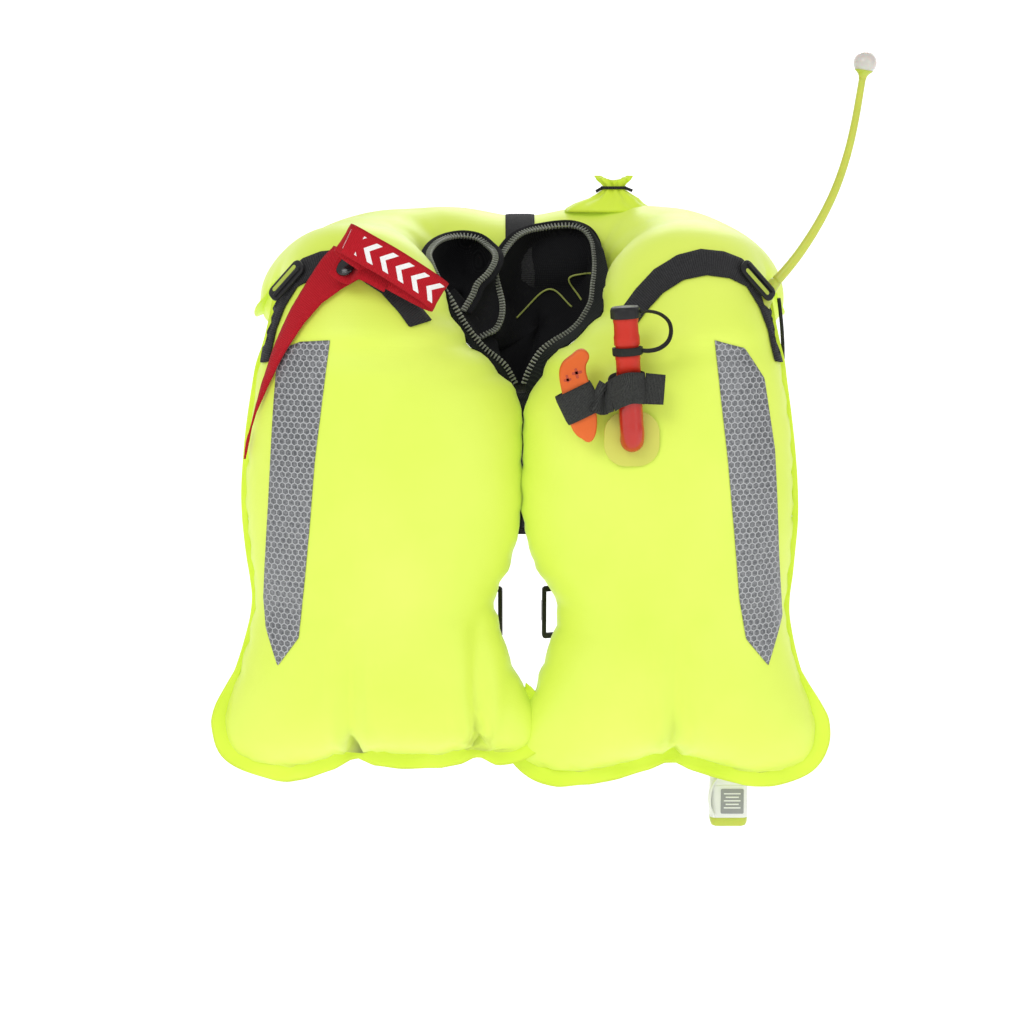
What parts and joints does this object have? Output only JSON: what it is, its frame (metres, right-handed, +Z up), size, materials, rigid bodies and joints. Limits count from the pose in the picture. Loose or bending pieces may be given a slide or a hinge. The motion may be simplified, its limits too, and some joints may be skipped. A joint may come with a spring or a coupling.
{
  "type": "inflatable life jacket",
  "caption": "Inflated yellow life jacket with chest lobes, collar zips, oral tube, whistle, rescue light, lifting loop, waist belt and gas inflator.",
  "frame": {"origin": "centre of the neck opening, level with the front edge of the collar", "axes": "+X to the wearer's left (port), +Y to the wearer's back, +Z up"},
  "size_m": [0.524, 0.3784, 0.6356],
  "materials": {
    "yellow_bladder": "satin",
    "reflective": "satin",
    "dark_fabric": "matte",
    "black_webbing": "matte",
    "red_webbing": "matte",
    "black_plastic": "matte",
    "black_gloss": "gloss",
    "zip_plastic": "satin",
    "white_plastic": "gloss",
    "lime_plastic": "gloss",
    "red_plastic": "gloss",
    "whistle_plastic": "gloss",
    "valve_plastic": "matte",
    "flange_plastic": "satin",
    "lens": "gloss",
    "black_rubber": "matte",
    "steel": "brushed",
    "painted_cylinder": "satin"
  },
  "bodies": {
    "jacket": {"accessory_strap": "black_webbing", "back_strap": "black_webbing", "battery_cell": "steel", "battery_end_cap": "lime_plastic", "battery_housing": "white_plastic", "bladder_lobe_port": "yellow_bladder", "bladder_lobe_starboard": "yellow_bladder", "bladder_neck_back": "yellow_bladder", "bladder_shoulder_port": "yellow_bladder", "bladder_shoulder_starboard": "yellow_bladder", "burst_zip_port": "zip_plastic", "burst_zip_starboard": "zip_plastic", "cap_tether": "black_rubber", "collar_lining_port": "dark_fabric", "collar_lining_starboard": "dark_fabric", "cover_zip_run": "zip_plastic", "elastic_slider_port": "black_plastic", "elastic_slider_starboard": "black_plastic", "elastic_strap_port": "black_webbing", "elastic_strap_starboard": "black_webbing", "inflator_body": "black_plastic", "inflator_manifold": "valve_plastic", "lift_snap_stud": "steel", "lift_strap_tail": "red_webbing", "light_base": "lime_plastic", "light_lead": "black_rubber", "neck_webbing": "black_webbing", "oral_tube": "red_plastic", "oral_tube_flange": "flange_plastic", "oral_valve_spring": "steel", "piercing_spring": "steel", "reflective_tape_port": "reflective", "reflective_tape_starboard": "reflective", "seal_washer": "black_rubber", "sprayhood_pouch": "yellow_bladder", "sprayhood_tie": "black_webbing", "vest_back_yoke": "dark_fabric", "vest_side_port": "dark_fabric", "vest_side_starboard": "dark_fabric", "waist_belt_port": "black_webbing", "waist_belt_starboard": "black_webbing"},
    "oral_cap_body": {"oral_cap": "black_plastic"},
    "oral_valve_body": {"oral_valve_poppet": "white_plastic"},
    "whistle_body": {"whistle": "whistle_plastic"},
    "strap_tab_body": {"strap_peel_tab": "black_webbing"},
    "snap_cap_body": {"lift_snap_cap": "black_gloss"},
    "lift_loop_body": {"lift_loop": "red_webbing"},
    "light_stem_body": {"light_stem": "lime_plastic", "light_lens": "lens"},
    "zip_slider_body": {"cover_zip_slider": "black_plastic"},
    "pull_lever_body": {"pull_lever": "black_plastic"},
    "pull_toggle_body": {"pull_cord": "black_webbing", "pull_toggle": "red_plastic"},
    "piercing_pin_body": {"piercing_pin": "steel"},
    "gas_cylinder_body": {"gas_cylinder": "painted_cylinder"},
    "auto_head_body": {"auto_head_cap": "lime_plastic", "water_soluble_element": "white_plastic"},
    "belt_adjuster_body": {"belt_adjuster": "black_plastic"},
    "buckle_frame_body": {"buckle_frame": "black_plastic"},
    "buckle_hook_body": {"buckle_hook": "black_plastic"}
  },
  "joints": [
    {"name": "cap_pull", "type": "slide", "parent": "jacket", "child": "oral_cap_body", "axis": [-0.0634, -0.0312, 0.9975], "range_m": [0, 0.03], "deforming": ["cap_tether"]},
    {"name": "oral_valve_push", "type": "slide", "parent": "jacket", "child": "oral_valve_body", "axis": [0.0634, 0.0312, -0.9975], "range_m": [0, 0.004], "stiffness_N_per_m": 300, "springref_m": -0.001, "deforming": ["oral_valve_spring"]},
    {"name": "whistle_pull", "type": "slide", "parent": "jacket", "child": "whistle_body", "axis": [-0.1457, -0.0759, 0.9864], "range_m": [0, 0.045]},
    {"name": "strap_tab_peel", "type": "hinge", "parent": "jacket", "child": "strap_tab_body", "pos_m": [0.09487, -0.16796, -0.07343], "axis": [0.0634, 0.0312, -0.9975], "range_deg": [0, 110]},
    {"name": "lift_snap_release", "type": "slide", "parent": "jacket", "child": "snap_cap_body", "axis": [-0.1802, -0.8011, 0.5708], "range_m": [0, 0.006]},
    {"name": "lift_loop_swing", "type": "hinge", "parent": "snap_cap_body", "child": "lift_loop_body", "pos_m": [-0.13439, -0.14238, 0.04701], "axis": [-0.5121, -0.036, -0.8582], "range_deg": [0, 60]},
    {"name": "light_stem_bend", "type": "hinge", "parent": "jacket", "child": "light_stem_body", "pos_m": [0.201, -0.08, 0.013], "axis": [0, 1, 0], "range_deg": [-35, 40], "stiffness_Nm_per_rad": 0.15},
    {"name": "zip_slider_travel", "type": "slide", "parent": "jacket", "child": "zip_slider_body", "axis": [0, 0, 1], "range_m": [0, 0.17]},
    {"name": "lever_pull", "type": "hinge", "parent": "jacket", "child": "pull_lever_body", "pos_m": [-0.1575, -0.007, -0.178], "axis": [0, -1, 0], "range_deg": [0, 85]},
    {"name": "toggle_hang", "type": "hinge", "parent": "pull_lever_body", "child": "pull_toggle_body", "pos_m": [-0.1685, -0.007, -0.158], "axis": [0, -1, 0], "range_deg": [-85, 0]},
    {"name": "piercing_pin_travel", "type": "slide", "parent": "jacket", "child": "piercing_pin_body", "axis": [0, 0, -1], "range_m": [0, 0.0045], "deforming": ["piercing_spring"]},
    {"name": "cylinder_unscrew", "type": "hinge", "parent": "jacket", "child": "gas_cylinder_body", "pos_m": [-0.138, -0.007, -0.22], "axis": [0, 0, 1], "range_deg": [0, 1440]},
    {"name": "auto_cap_twist", "type": "hinge", "parent": "jacket", "child": "auto_head_body", "pos_m": [-0.138, -0.007, -0.158], "axis": [0, 0, 1], "range_deg": [0, 60]},
    {"name": "belt_adjust", "type": "slide", "parent": "jacket", "child": "belt_adjuster_body", "axis": [0.9254, -0.3654, -0.1006], "range_m": [-0.01, 0.01]},
    {"name": "buckle_frame_swing", "type": "hinge", "parent": "jacket", "child": "buckle_frame_body", "pos_m": [-0.03469, -0.01749, -0.26323], "axis": [0, -0.2656, 0.9641], "range_deg": [-50, 20]},
    {"name": "buckle_hook_swing", "type": "hinge", "parent": "jacket", "child": "buckle_hook_body", "pos_m": [0.03369, -0.01764, -0.26327], "axis": [0, -0.2656, 0.9641], "range_deg": [-20, 50]}
  ],
  "couplings": [
    {"joint": "toggle_hang", "follows": "lever_pull", "ratio": -1}
  ]
}
